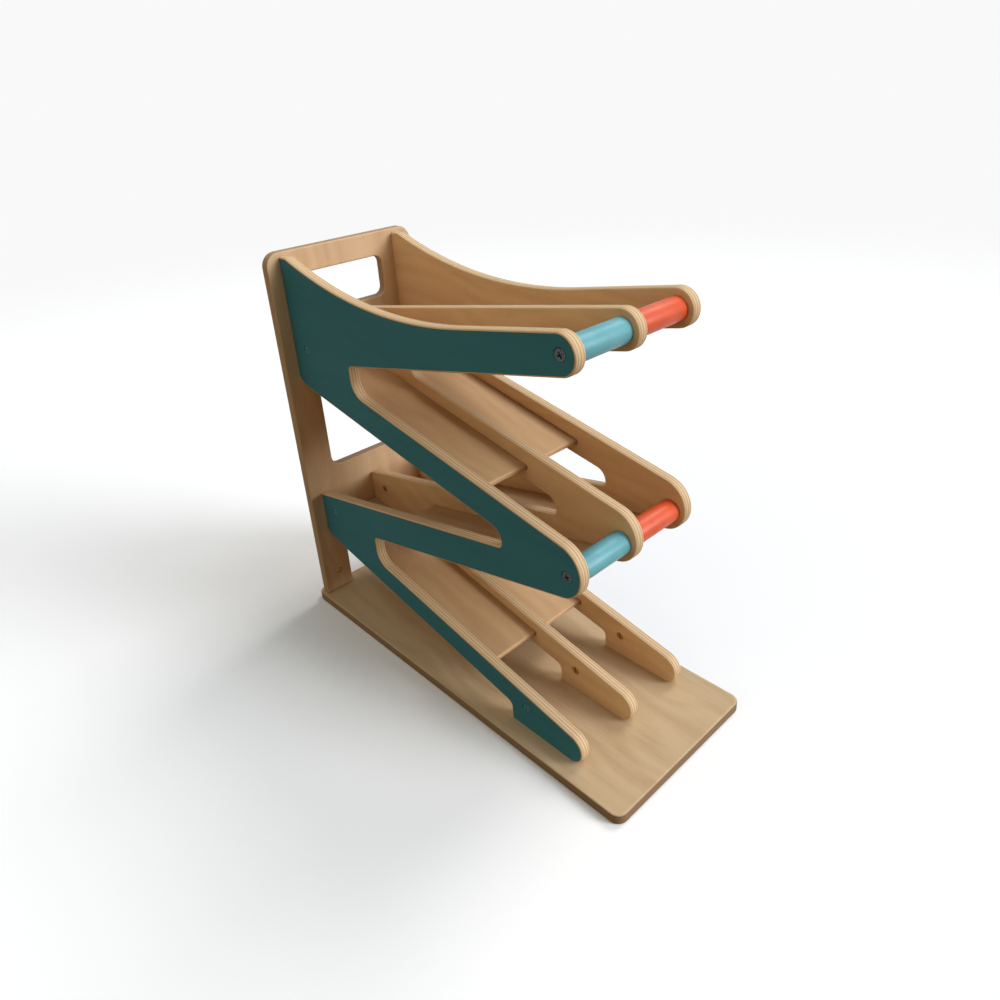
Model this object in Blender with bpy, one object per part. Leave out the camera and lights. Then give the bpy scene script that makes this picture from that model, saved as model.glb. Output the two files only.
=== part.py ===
"""Two-lane wooden toy car ramp.

A plywood base carries a back panel with a hand slot. Two side panels and a centre divider stand
between them, each cut as a zig-zag of rails. Decks held in grooves between the panels fall backwards
and forwards in turn, painted dowels tie the noses of the panels together, and bolts with barrel nuts
hold the panels to the back and the base.

Lengths are metres. +X is the front, -Y is the left lane seen from the front, +Z is up, and the origin
lies under the middle of the base. Heights are measured from the top face of the base.
"""
import math
from typing import NamedTuple

import bmesh
import bpy
import numpy as np

# Fits and facets
CLEARANCE = 0.0003
CUT_OVERSHOOT = 0.002
SAME_POINT = 0.00001
EDGE_ROUND = 0.0015
EDGE_SEGMENTS = 1
ARC_STEP = math.radians(15)
SMOOTH_ANGLE = math.radians(35)
DOWEL_SIDES = 24
FASTENER_SIDES = 12

# Base board
BASE_LENGTH = 0.418
BASE_MARGIN = 0.01675
BASE_THICKNESS = 0.0095
BASE_CORNER = 0.009

# Back panel with hand slot, window and two legs
BACK_MARGIN = 0.013
BACK_RISE = 0.065
BACK_THICKNESS = 0.0095
BACK_INSET = 0.0065
BACK_CORNER = 0.013
HANDLE_WIDTH = 0.083
HANDLE_HEIGHT = 0.039
HANDLE_DROP = 0.023
HANDLE_CORNER = 0.008
WINDOW_WIDTH = 0.095
WINDOW_HEIGHT = 0.096
WINDOW_CORNER = 0.010
OPENING_DROP = 0.0185

# Side panels and divider
LANE_WIDTH = 0.0515
PANEL_THICKNESS = 0.0095
RAIL_FALL = 0.0723
TOP_EDGE_FALL = 0.060
LOWER_CHUTE_HEIGHT = 0.0855
MIDDLE_ARM_HEIGHT = 0.1718
LEVEL_PITCH = 0.1715
NOSE_REACH = 0.014
SLOT_SETBACK = 0.311
SLOT_ROUND = 0.015
CROTCH_SETBACK = 0.130
CROTCH_ROUND = 0.011
INNER_CORNER = 0.004
REAR_CORNER = 0.012
FOOT_SETBACK = 0.051
FOOT_LENGTH = 0.080
HEEL_ROUND = 0.005
SWEEP_SETBACK = 0.163
SWEEP_STEPS = 12
SHOULDER_ROUND = 0.005
SHOULDER_DROP = 0.004
SHOULDER_LAND = 0.010

# Depth of the rails over and under their centre lines, at the back panel and at the dowels
TOP_ARM_OVER = 0.015
TOP_ARM_UNDER = (0.0134, 0.0150)
UPPER_CHUTE_OVER = (0.0125, 0.0168)
UPPER_CHUTE_UNDER = (0.0167, 0.0103)
MIDDLE_ARM_OVER = (0.0185, 0.0150)
MIDDLE_ARM_UNDER = (0.0164, 0.0131)
LOWER_CHUTE_OVER = (0.0103, 0.0127)
LOWER_CHUTE_UNDER = (0.0143, 0.0110)

# Dowels across the noses
DOWEL_DIAMETER = 0.019
DOWEL_SETBACK = 0.062
LOWER_DOWEL_RISE = 0.0057

# Decks and their grooves
DECK_THICKNESS = 0.005
DECK_ROUND = 0.0015
GROOVE_DEPTH = 0.003
GROOVE_RUNOUT = 0.002
FRONT_DROP = 0.1005
BACK_DROP = 0.107
DOWEL_STANDOFF = 0.0015
ARM_DECK_DROP = 0.006

# Bolts and barrel nuts
HEAD_RECESS = 0.0005
BOLT_DIAMETER = 0.004
BOLT_HEAD_DIAMETER = 0.008
BOLT_TIP = 0.002
SOCKET_WIDTH = 0.0025
SOCKET_DEPTH = 0.0016
NUT_DIAMETER = 0.007
NUT_SETBACK = 0.021
NUT_RECESS = 0.0002
BACK_BOLT_RISE = 0.0193
HEEL_TO_BOLT = 0.018

# Dowel screws and the pins through the divider
SCREW_DIAMETER = 0.0036
SCREW_HEAD_DIAMETER = 0.0092
SCREW_LENGTH = 0.030
RECESS_SPAN = 0.005
RECESS_WIDTH = 0.0012
RECESS_DEPTH = 0.0014
PIN_DIAMETER = 0.005
PIN_LENGTH = 0.040

# Finishes: colour, roughness, metallic
BIRCH = ("birch_ply", (0.66, 0.49, 0.31, 1.0), 0.5, 0.0)
TEAL = ("teal_paint", (0.06, 0.27, 0.34, 1.0), 0.45, 0.0)
BLUE = ("blue_paint", (0.20, 0.55, 0.65, 1.0), 0.4, 0.0)
CORAL = ("coral_paint", (0.87, 0.18, 0.085, 1.0), 0.4, 0.0)
STEEL = ("zinc_steel", (0.55, 0.55, 0.55, 1.0), 0.35, 1.0)
DARK_STEEL = ("bronzed_steel", (0.10, 0.08, 0.06, 1.0), 0.4, 1.0)

# Places that follow from the sizes
PANEL_SPAN = 2 * LANE_WIDTH + 3 * PANEL_THICKNESS
BASE_WIDTH = PANEL_SPAN + 2 * BASE_MARGIN
BACK_WIDTH = PANEL_SPAN + 2 * BACK_MARGIN
BASE_TOP = BASE_THICKNESS
FRONT = BASE_LENGTH / 2
BACK_REAR = -BASE_LENGTH / 2 + BACK_INSET
BACK_FACE = BACK_REAR + BACK_THICKNESS
BACK_MIDDLE = (BACK_REAR + BACK_FACE) / 2
SIDE_MIDDLE = (PANEL_SPAN - PANEL_THICKNESS) / 2
LANE_MIDDLE = (PANEL_THICKNESS + LANE_WIDTH) / 2
DOWEL_X = FRONT - DOWEL_SETBACK
NOSE_X = DOWEL_X + NOSE_REACH
HEEL_X = FRONT - FOOT_SETBACK - FOOT_LENGTH
RAIL_RUN = DOWEL_X - BACK_FACE
RAMP_ANGLE = math.atan(RAIL_FALL / RAIL_RUN)
TOP_EDGE_ANGLE = math.atan(TOP_EDGE_FALL / RAIL_RUN)
CHUTES = {"high": LOWER_CHUTE_HEIGHT + LEVEL_PITCH, "low": LOWER_CHUTE_HEIGHT}
TOP_ARM_HEIGHT = MIDDLE_ARM_HEIGHT + LEVEL_PITCH
DOWEL_HEIGHTS = {"upper": TOP_ARM_HEIGHT, "lower": MIDDLE_ARM_HEIGHT + LOWER_DOWEL_RISE}
PANELS = {"left": -SIDE_MIDDLE, "centre": 0.0, "right": SIDE_MIDDLE}
LANES = {"left": -LANE_MIDDLE, "right": LANE_MIDDLE}


# Plane geometry

def unit(vector):
    """The vector scaled to length one."""
    return vector / np.linalg.norm(vector)


def sloped(x, z, angle):
    """Line through (x, z), directed forwards and rising by angle."""
    return np.array((x, z)), np.array((math.cos(angle), math.sin(angle)))


def upright(x, direction):
    """Vertical line at x, directed up (1) or down (-1)."""
    return np.array((x, 0.0)), np.array((0.0, float(direction)))


def left_normal(along):
    """Unit normal on the left hand of a direction."""
    return np.array((-along[1], along[0]))


def offset_edge(centre, distance):
    """Line parallel to a centre line, above it for a positive distance, with its strip on the left."""
    point, along = centre
    return point + distance * left_normal(along), -math.copysign(1.0, distance) * along


def meet(first, second):
    """Point where two lines cross."""
    steps = np.linalg.solve(np.column_stack((first[1], -second[1])), second[0] - first[0])
    return first[0] + steps[0] * first[1]


def round_end(first, tip, second):
    """Two corners of a full-round end: one circle touches both edges and the tip line."""
    rows = [(*left_normal(along), -1.0) for _, along in (first, tip, second)]
    offsets = [left_normal(along) @ point for point, along in (first, tip, second)]
    radius = abs(np.linalg.solve(rows, offsets)[2])
    return [(*meet(first, tip), radius), (*meet(tip, second), radius)]


def rounded(corners):
    """Outline points of a polygon whose corners (u, v, radius) are turned into arcs."""
    points = []
    for index, (u, v, radius) in enumerate(corners):
        corner = np.array((u, v))
        to_last = unit(np.array(corners[index - 1][:2]) - corner)
        to_next = unit(np.array(corners[(index + 1) % len(corners)][:2]) - corner)
        half = math.acos(np.clip(to_last @ to_next, -1.0, 1.0)) / 2
        centre = corner + unit(to_last + to_next) * radius / math.sin(half)
        arm = corner + to_last * radius / math.tan(half) - centre
        hand = math.copysign(1.0, to_next[0] * to_last[1] - to_next[1] * to_last[0])
        sweep = hand * (math.pi - 2 * half)
        steps = math.ceil(abs(sweep) / ARC_STEP) if radius else 0
        for step in range(steps + 1):
            turn = sweep * step / max(steps, 1)
            cosine, sine = math.cos(turn), math.sin(turn)
            point = centre + (cosine * arm[0] - sine * arm[1], sine * arm[0] + cosine * arm[1])
            if not points or np.linalg.norm(point - points[-1]) > SAME_POINT:
                points.append(point)
    return points


# Solids

def new_mesh(name, shape):
    """Mesh data from a bmesh, with its faces turned outwards and its round stretches shaded smooth."""
    bmesh.ops.recalc_face_normals(shape, faces=shape.faces)
    mesh = bpy.data.meshes.new(name)
    shape.to_mesh(mesh)
    shape.free()
    mesh.shade_smooth()
    mesh.set_sharp_from_angle(angle=SMOOTH_ANGLE)
    return mesh


def plate(name, outlines, low, high, place, edge_round=0.0):
    """Plate between two levels from outlines that meet edge to edge, with rounded rims."""
    shape = bmesh.new()
    for outline in outlines:
        shape.faces.new([shape.verts.new(place(u, v, low)) for u, v in outline])
    bmesh.ops.remove_doubles(shape, verts=shape.verts, dist=SAME_POINT)
    lower_faces = list(shape.faces)
    grown = bmesh.ops.extrude_face_region(shape, geom=lower_faces)["geom"]
    raised = [item for item in grown if isinstance(item, bmesh.types.BMVert)]
    upper_faces = [item for item in grown if isinstance(item, bmesh.types.BMFace)]
    lift = np.subtract(place(0.0, 0.0, high), place(0.0, 0.0, low))
    bmesh.ops.translate(shape, verts=raised, vec=lift)
    if edge_round:
        caps = set(upper_faces) | {face for face in shape.faces if not set(face.verts) & set(raised)}
        rims = [edge for edge in shape.edges if sum(face in caps for face in edge.link_faces) == 1]
        bmesh.ops.bevel(shape, geom=rims, offset=edge_round, offset_type="OFFSET",
                        segments=EDGE_SEGMENTS, profile=0.5, affect="EDGES", clamp_overlap=False)
    return new_mesh(name, shape)


def turned(name, profile, sides=FASTENER_SIDES):
    """Solid of revolution about Z from (radius, height) points that start and end on the axis."""
    shape = bmesh.new()
    spine = [shape.verts.new((radius, 0.0, height)) for radius, height in profile]
    edges = [shape.edges.new(pair) for pair in zip(spine, spine[1:])]
    bmesh.ops.spin(shape, geom=spine + edges, cent=(0, 0, 0), axis=(0, 0, 1),
                   angle=2 * math.pi, steps=sides, use_merge=True)
    bmesh.ops.remove_doubles(shape, verts=shape.verts, dist=SAME_POINT)
    return new_mesh(name, shape)


def rod(name, radius, length):
    """Plain round bar that starts at the origin and runs up Z."""
    return turned(name, [(0, 0), (radius, 0), (radius, length), (0, length)])


def prism(name, radius, low, high, sides):
    """Straight bar of a regular polygon about Z."""
    shape = bmesh.new()
    bmesh.ops.create_cone(shape, cap_ends=True, segments=sides, radius1=radius, radius2=radius,
                          depth=high - low)
    bmesh.ops.translate(shape, verts=shape.verts, vec=(0, 0, (low + high) / 2))
    return new_mesh(name, shape)


def block(name, size, centre):
    """Rectangular block about a point."""
    shape = bmesh.new()
    bmesh.ops.create_cube(shape, size=1.0)
    bmesh.ops.scale(shape, vec=size, verts=shape.verts)
    bmesh.ops.translate(shape, vec=centre, verts=shape.verts)
    return new_mesh(name, shape)


# Objects

ALONG = {"+X": (0, math.pi / 2, 0), "+Y": (-math.pi / 2, 0, 0), "-Y": (math.pi / 2, 0, 0), "+Z": (0, 0, 0)}


def finish(colour):
    """Principled material for a finish, made once."""
    name, tint, roughness, metallic = colour
    material = bpy.data.materials.get(name)
    if material is None:
        material = bpy.data.materials.new(name)
        material.use_nodes = True
        shader = material.node_tree.nodes["Principled BSDF"]
        shader.inputs["Base Color"].default_value = tint
        shader.inputs["Roughness"].default_value = roughness
        shader.inputs["Metallic"].default_value = metallic
    return material


def add(name, mesh, colour, place=(0, 0, 0), axis="+Z"):
    """Named piece under the ramp's empty, with its Z axis turned to the given direction."""
    piece = bpy.data.objects.new(name, mesh)
    bpy.context.scene.collection.objects.link(piece)
    if not mesh.materials:
        mesh.materials.append(finish(colour))
    piece.location = place
    piece.rotation_euler = ALONG[axis]
    piece.parent = bpy.data.objects["car_ramp"]
    return piece


def cutter(mesh, place=(0, 0, 0), axis="+Z"):
    """Hidden shape for a cut."""
    tool = bpy.data.objects.new("cut_" + mesh.name, mesh)
    bpy.context.scene.collection.objects.link(tool)
    tool.location = place
    tool.rotation_euler = ALONG[axis]
    tool.hide_render = True
    tool.display_type = "WIRE"
    return tool


def cut(piece, tool):
    """Boolean cut that stays live on the piece."""
    modifier = piece.modifiers.new(tool.name, "BOOLEAN")
    modifier.operation = "DIFFERENCE"
    modifier.solver = "EXACT"
    modifier.object = tool


def cut_mesh(name, body, *tools):
    """Mesh with the tools cut out of it, for pieces that share one shape."""
    piece = bpy.data.objects.new(name, body)
    bpy.context.scene.collection.objects.link(piece)
    for tool in tools:
        cut(piece, tool)
    bpy.context.view_layer.update()
    mesh = bpy.data.meshes.new_from_object(piece.evaluated_get(bpy.context.evaluated_depsgraph_get()))
    mesh.name = name
    bpy.data.objects.remove(piece)
    return mesh


def side_place(u, v, w):
    """Outline in the X-Z plane, thickness along Y."""
    return (u, w, v)


def back_place(u, v, w):
    """Outline in the Y-Z plane, thickness along X."""
    return (w, u, v)


def flat_place(u, v, w):
    """Outline in the X-Y plane, thickness along Z."""
    return (u, v, w)


# Centre lines of the rails: two arms fall backwards, two chutes fall forwards

TOP_ARM = sloped(DOWEL_X, BASE_TOP + TOP_ARM_HEIGHT, RAMP_ANGLE)
MIDDLE_ARM = sloped(DOWEL_X, BASE_TOP + MIDDLE_ARM_HEIGHT, RAMP_ANGLE)
UPPER_CHUTE = sloped(BACK_FACE, BASE_TOP + CHUTES["high"], -RAMP_ANGLE)
LOWER_CHUTE = sloped(BACK_FACE, BASE_TOP + CHUTES["low"], -RAMP_ANGLE)
TOP_EDGE = offset_edge(sloped(DOWEL_X, BASE_TOP + TOP_ARM_HEIGHT, TOP_EDGE_ANGLE), TOP_ARM_OVER)
BACK_TOP = meet(TOP_EDGE, upright(BACK_FACE, 1))[1] + BACK_RISE


def swept_shoulder(back_x):
    """Corners of the side panel's hollow top: an arc from the straight edge up to a level land at the back."""
    start = meet(TOP_EDGE, upright(FRONT - SWEEP_SETBACK, 1))
    crest = np.array((back_x + SHOULDER_LAND, BACK_TOP - SHOULDER_DROP))
    chord = crest - start
    upward = np.array((-math.sin(TOP_EDGE_ANGLE), math.cos(TOP_EDGE_ANGLE)))
    radius = chord @ chord / (2 * chord @ upward)
    centre = start + radius * upward
    angles = np.linspace(TOP_EDGE_ANGLE, math.asin((crest[0] - centre[0]) / radius), SWEEP_STEPS + 1)
    corners = [(*(centre + radius * np.array((math.sin(turn), -math.cos(turn)))), 0.0) for turn in angles]
    corners[-1] = (*corners[-1][:2], SHOULDER_ROUND)
    corners.append((back_x, crest[1], 0.0))
    return corners


def rail_edge(centre, depths, side):
    """Edge over (1) or under (-1) a rail's centre line, by its depths at the back and at the dowels."""
    rear, front = (meet(offset_edge(centre, side * depth), upright(x, 1))
                   for depth, x in zip(depths, (BACK_FACE, DOWEL_X)))
    return rear, side * (rear - front) / np.linalg.norm(rear - front)


def panel_outline(is_divider):
    """Zig-zag outline of a side panel, or of the divider with its straight top edge.

    Each opening between two rails has an upright end, broadly rounded on the chute's side.
    """
    upper = {name: rail_edge(line, depths, 1) for name, line, depths in (
        ("middle", MIDDLE_ARM, MIDDLE_ARM_OVER), ("high", UPPER_CHUTE, UPPER_CHUTE_OVER),
        ("low", LOWER_CHUTE, LOWER_CHUTE_OVER))}
    lower = {name: rail_edge(line, depths, -1) for name, line, depths in (
        ("top", TOP_ARM, TOP_ARM_UNDER), ("middle", MIDDLE_ARM, MIDDLE_ARM_UNDER),
        ("high", UPPER_CHUTE, UPPER_CHUTE_UNDER), ("low", LOWER_CHUTE, LOWER_CHUTE_UNDER))}
    floor = sloped(0.0, BASE_TOP + CLEARANCE, 0.0)
    heel = upright(HEEL_X, 1)
    nose = upright(NOSE_X, 1)
    slot = upright(FRONT - SLOT_SETBACK, 1)
    crotch = upright(FRONT - CROTCH_SETBACK, -1)
    back_x = BACK_FACE + CLEARANCE
    back = upright(back_x, -1)
    corners = [(*meet(floor, heel), 0.0)]
    corners += round_end(floor, upright(FRONT - FOOT_SETBACK, 1), upper["low"])
    corners.append((*meet(upper["low"], slot), SLOT_ROUND))
    corners.append((*meet(slot, lower["middle"]), INNER_CORNER))
    corners += round_end(lower["middle"], nose, upper["high"])
    corners.append((*meet(upper["high"], slot), SLOT_ROUND))
    corners.append((*meet(slot, lower["top"]), INNER_CORNER))
    corners += round_end(lower["top"], nose, TOP_EDGE)
    corners += [(*meet(TOP_EDGE, back), 0.0)] if is_divider else swept_shoulder(back_x)
    corners.append((*meet(back, lower["high"]), REAR_CORNER))
    corners.append((*meet(lower["high"], crotch), CROTCH_ROUND))
    corners.append((*meet(crotch, upper["middle"]), INNER_CORNER))
    corners.append((*meet(upper["middle"], back), 0.0))
    corners.append((*meet(back, lower["low"]), REAR_CORNER))
    corners.append((*meet(lower["low"], heel), HEEL_ROUND))
    return rounded(corners)


# Decks run from one X to another along a centre line

CHUTE_ENDS = (BACK_FACE + 2 * CLEARANCE, DOWEL_X - FRONT_DROP)
ARM_ENDS = (BACK_FACE + BACK_DROP, DOWEL_X - DOWEL_DIAMETER / 2 - DOWEL_STANDOFF)
DECKS = {"top": (offset_edge(TOP_ARM, -ARM_DECK_DROP), ARM_ENDS), "upper": (UPPER_CHUTE, CHUTE_ENDS),
         "middle": (offset_edge(MIDDLE_ARM, -ARM_DECK_DROP), ARM_ENDS), "lower": (LOWER_CHUTE, CHUTE_ENDS)}


def strip_outline(centre, ends, half_width, corner):
    """Outline of a strip along a centre line, with upright ends and rounded corners."""
    top = offset_edge(centre, half_width)
    bottom = offset_edge(centre, -half_width)
    rear, front = (upright(x, 1) for x in ends)
    return rounded([(*meet(bottom, rear), corner), (*meet(bottom, front), corner),
                    (*meet(top, front), corner), (*meet(top, rear), corner)])


def build_decks():
    """Eight decks, each with its long edges inside the grooves."""
    half = LANE_WIDTH / 2 + GROOVE_DEPTH - CLEARANCE
    for level, (centre, ends) in DECKS.items():
        outline = strip_outline(centre, ends, DECK_THICKNESS / 2, DECK_ROUND)
        for side, middle in LANES.items():
            name = f"{level}_deck_{side}"
            add(name, plate(name, [outline], middle - half, middle + half, side_place), BIRCH)


def groove_cutters(panel, faces):
    """Stopped grooves for the decks in the given faces of a panel, as (face Y, outward sign)."""
    half = DECK_THICKNESS / 2 + CLEARANCE
    tools = []
    for level, (centre, ends) in DECKS.items():
        start = BACK_FACE - CUT_OVERSHOOT if ends is CHUTE_ENDS else ends[0] - GROOVE_RUNOUT
        outline = strip_outline(centre, (start, ends[1] + GROOVE_RUNOUT), half, DECK_ROUND)
        for face, outward in faces:
            low, high = sorted((face - outward * GROOVE_DEPTH, face + outward * CUT_OVERSHOOT))
            tools.append(cutter(plate(f"groove_{level}_{panel}", [outline], low, high, side_place)))
    return tools


# Fasteners

def countersunk(name, radius, head_radius, length):
    """Flat-headed fastener from its head's face up Z, with a 90 degree head."""
    return turned(name, [(0, 0), (head_radius, 0), (radius, head_radius - radius), (radius, length),
                         (0, length)])


def countersink(name, radius, head_radius, length):
    """Clearance hole with a countersink for a fastener whose head starts at the origin."""
    hole = radius + CLEARANCE
    mouth = head_radius + CLEARANCE
    return turned(name, [(0, -CUT_OVERSHOOT), (mouth, -CUT_OVERSHOOT), (mouth, CLEARANCE),
                         (hole, mouth - hole + CLEARANCE), (hole, length), (0, length)])


class Joint(NamedTuple):
    """A bolted joint: the bolt's direction, the plate it passes, its nut's direction and the nut's plate."""

    axis: str
    through: float
    nut_axis: str
    into: float


BACK_JOINT = Joint("+X", BACK_THICKNESS, "+Y", PANEL_THICKNESS)
FOOT_JOINT = Joint("+Z", BASE_THICKNESS, "+Y", PANEL_THICKNESS)
LEG_JOINT = Joint("+Z", BASE_THICKNESS, "+X", BACK_THICKNESS)


def along(place, axis, distance):
    """The place moved by a distance in the direction of an axis such as +X."""
    moved = np.array(place, dtype=float)
    moved["XYZ".index(axis[1])] += distance if axis[0] == "+" else -distance
    return moved


def bolt_length(joint):
    """Length of a bolt from its head's face through the plate and past its barrel nut."""
    return joint.through - HEAD_RECESS + NUT_SETBACK + NUT_DIAMETER / 2 + BOLT_TIP


def bolt_mesh(name, joint):
    """Countersunk bolt with a hexagon socket."""
    body = countersunk(name, BOLT_DIAMETER / 2, BOLT_HEAD_DIAMETER / 2, bolt_length(joint))
    corner_radius = SOCKET_WIDTH / math.sqrt(3)
    socket = cutter(prism(name + "_socket", corner_radius, -CUT_OVERSHOOT, SOCKET_DEPTH, 6))
    return cut_mesh(name, body, socket)


def nut_mesh(name, width):
    """Barrel nut along Z with a cross hole along X, centred on the origin."""
    length = width - 2 * NUT_RECESS
    radius = NUT_DIAMETER / 2
    body = turned(name, [(0, -length / 2), (radius, -length / 2), (radius, length / 2), (0, length / 2)])
    hole = rod(name + "_hole", BOLT_DIAMETER / 2 + CLEARANCE, NUT_DIAMETER + 2 * CUT_OVERSHOOT)
    start = (-NUT_DIAMETER / 2 - CUT_OVERSHOOT, 0, 0)
    return cut_mesh(name, body, cutter(hole, start, "+X"))


def screw_mesh(name):
    """Countersunk screw with a cross recess."""
    body = countersunk(name, SCREW_DIAMETER / 2, SCREW_HEAD_DIAMETER / 2, SCREW_LENGTH)
    height = RECESS_DEPTH + CUT_OVERSHOOT
    middle = (0, 0, (RECESS_DEPTH - CUT_OVERSHOOT) / 2)
    slots = [cutter(block(f"{name}_recess_{axis}", size, middle)) for axis, size in (
        ("x", (RECESS_SPAN, RECESS_WIDTH, height)), ("y", (RECESS_WIDTH, RECESS_SPAN, height)))]
    return cut_mesh(name, body, *slots)


def bolted_joint(joint, kind, spot, plate_piece, receiver, face, bolt, nut):
    """One bolt with its barrel nut, and the holes for both in the plate and in the piece it pulls in."""
    head = along(face, joint.axis, HEAD_RECESS)
    nut_middle = along(face, joint.axis, joint.through + NUT_SETBACK)
    length = bolt_length(joint) + CLEARANCE
    for piece in (plate_piece, receiver):
        hole = countersink(piece.name + "_bolt_hole", BOLT_DIAMETER / 2, BOLT_HEAD_DIAMETER / 2, length)
        cut(piece, cutter(hole, head, joint.axis))
    bore = rod(receiver.name + "_nut_hole", NUT_DIAMETER / 2 + CLEARANCE, joint.into + 2 * CUT_OVERSHOOT)
    start = along(nut_middle, joint.nut_axis, -joint.into / 2 - CUT_OVERSHOOT)
    cut(receiver, cutter(bore, start, joint.nut_axis))
    add(f"{kind}_bolt_{spot}", bolt, STEEL, head, joint.axis)
    barrel = add(f"{kind}_nut_{spot}", nut, DARK_STEEL, nut_middle, joint.nut_axis)
    # A nut that lies across the panels has its cross hole along X until it is turned to an upright bolt
    if joint is FOOT_JOINT:
        barrel.rotation_euler.rotate_axis("Z", math.pi / 2)


# The ramp

def build_base():
    """Base board with rounded corners."""
    x, y = BASE_LENGTH / 2, BASE_WIDTH / 2
    outline = rounded([(-x, -y, BASE_CORNER), (x, -y, BASE_CORNER), (x, y, BASE_CORNER),
                       (-x, y, BASE_CORNER)])
    mesh = plate("base_board", [outline], 0.0, BASE_THICKNESS, flat_place, EDGE_ROUND)
    return add("base_board", mesh, BIRCH)


def build_back():
    """Back panel: half an outline with its openings on the middle line, and its mirror image."""
    floor = BASE_TOP + CLEARANCE
    handle_top = BACK_TOP - HANDLE_DROP
    handle_bottom = handle_top - HANDLE_HEIGHT
    lintel = BASE_TOP + CHUTES["high"] - OPENING_DROP
    sill = lintel - WINDOW_HEIGHT
    arch = BASE_TOP + CHUTES["low"] - OPENING_DROP
    edge, hand, pane = (width / 2 for width in (BACK_WIDTH, HANDLE_WIDTH, WINDOW_WIDTH))
    half = rounded([
        (pane, floor, 0), (edge, floor, 0), (edge, BACK_TOP, BACK_CORNER), (0, BACK_TOP, 0),
        (0, handle_top, 0), (hand, handle_top, HANDLE_CORNER), (hand, handle_bottom, HANDLE_CORNER),
        (0, handle_bottom, 0), (0, lintel, 0), (pane, lintel, WINDOW_CORNER), (pane, sill, WINDOW_CORNER),
        (0, sill, 0), (0, arch, 0), (pane, arch, WINDOW_CORNER)])
    mirrored = [(-u, v) for u, v in reversed(half)]
    mesh = plate("back_panel", [half, mirrored], BACK_REAR, BACK_FACE, back_place, EDGE_ROUND)
    return add("back_panel", mesh, BIRCH)


def build_panels():
    """Two side panels, painted on the outside, and the plain divider, with their deck grooves."""
    panels = {}
    for side, middle in PANELS.items():
        is_divider = side == "centre"
        name = "centre_divider" if is_divider else f"{side}_side_panel"
        low, high = middle - PANEL_THICKNESS / 2, middle + PANEL_THICKNESS / 2
        mesh = plate(name, [panel_outline(is_divider)], low, high, side_place, EDGE_ROUND)
        panels[side] = add(name, mesh, BIRCH if is_divider else TEAL)
        inner_faces = {"left": [(high, 1)], "centre": [(low, -1), (high, 1)], "right": [(low, -1)]}[side]
        for tool in groove_cutters(side, inner_faces):
            cut(panels[side], tool)
    return panels


def build_dowels(panels):
    """Painted dowels, the screws that hold them from outside and the pins through the divider."""
    length = LANE_WIDTH - 2 * CLEARANCE
    radius = DOWEL_DIAMETER / 2
    screw_hole = SCREW_DIAMETER / 2 + CLEARANCE
    screw_reach = SCREW_LENGTH + HEAD_RECESS - PANEL_THICKNESS
    pin_hole = PIN_DIAMETER / 2 + CLEARANCE
    pin_reach = (PIN_LENGTH - PANEL_THICKNESS) / 2
    # A dowel starts at its screwed end
    body = turned("dowel", [(0, screw_reach), (screw_hole, screw_reach), (screw_hole, 0), (radius, 0),
                            (radius, length), (pin_hole, length), (pin_hole, length - pin_reach),
                            (0, length - pin_reach)], DOWEL_SIDES)
    screw = screw_mesh("dowel_screw")
    pin = rod("dowel_pin", PIN_DIAMETER / 2, PIN_LENGTH)
    colours = {"left": BLUE, "right": CORAL}
    for level, height in DOWEL_HEIGHTS.items():
        z = BASE_TOP + height
        for side, inward, axis in (("left", 1, "+Y"), ("right", -1, "-Y")):
            end = (DOWEL_X, PANELS[side] + inward * (PANEL_THICKNESS / 2 + CLEARANCE), z)
            add(f"{level}_dowel_{side}", body.copy(), colours[side], end, axis)
            head = (DOWEL_X, PANELS[side] - inward * (PANEL_THICKNESS / 2 - HEAD_RECESS), z)
            add(f"dowel_screw_{level}_{side}", screw, DARK_STEEL, head, axis)
            hole = countersink("screw_hole", SCREW_DIAMETER / 2, SCREW_HEAD_DIAMETER / 2, SCREW_LENGTH)
            cut(panels[side], cutter(hole, head, axis))
        start = (DOWEL_X, -PIN_LENGTH / 2, z)
        add(f"dowel_pin_{level}", pin, STEEL, start, "+Y")
        bore = rod("pin_hole", pin_hole, PIN_LENGTH)
        cut(panels["centre"], cutter(bore, start, "+Y"))


def build_bolts(base, back, panels):
    """Bolts through the back and the base, each with a barrel nut in the piece that it pulls in."""
    back_bolt = bolt_mesh("back_bolt", BACK_JOINT)
    base_bolt = bolt_mesh("base_bolt", FOOT_JOINT)
    panel_nut = nut_mesh("panel_nut", PANEL_THICKNESS)
    leg_nut = nut_mesh("leg_nut", BACK_THICKNESS)
    for side, y in PANELS.items():
        for level, height in CHUTES.items():
            face = (BACK_REAR, y, BASE_TOP + height + BACK_BOLT_RISE)
            spot = f"{level}_{side}"
            bolted_joint(BACK_JOINT, "back", spot, back, panels[side], face, back_bolt, panel_nut)
        face = (HEEL_X + HEEL_TO_BOLT, y, 0.0)
        bolted_joint(FOOT_JOINT, "foot", side, base, panels[side], face, base_bolt, panel_nut)
        if side != "centre":
            face = (BACK_MIDDLE, y, 0.0)
            bolted_joint(LEG_JOINT, "leg", side, base, back, face, base_bolt, leg_nut)


def main():
    """Clear the scene and build the ramp under one empty."""
    for item in list(bpy.data.objects):
        bpy.data.objects.remove(item)
    root = bpy.data.objects.new("car_ramp", None)
    bpy.context.scene.collection.objects.link(root)
    base = build_base()
    back = build_back()
    panels = build_panels()
    build_decks()
    build_dowels(panels)
    build_bolts(base, back, panels)


main()
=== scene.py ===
"""Looks of the two-lane wooden toy car ramp.

Every piece is a closed shell of walls. A wall is a profile carried along a closed path, and flat caps
close the shell at each level where profiles end. Boards, decks, dowels and fasteners all have this form,
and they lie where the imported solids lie.
"""

import math
from typing import NamedTuple

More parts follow.
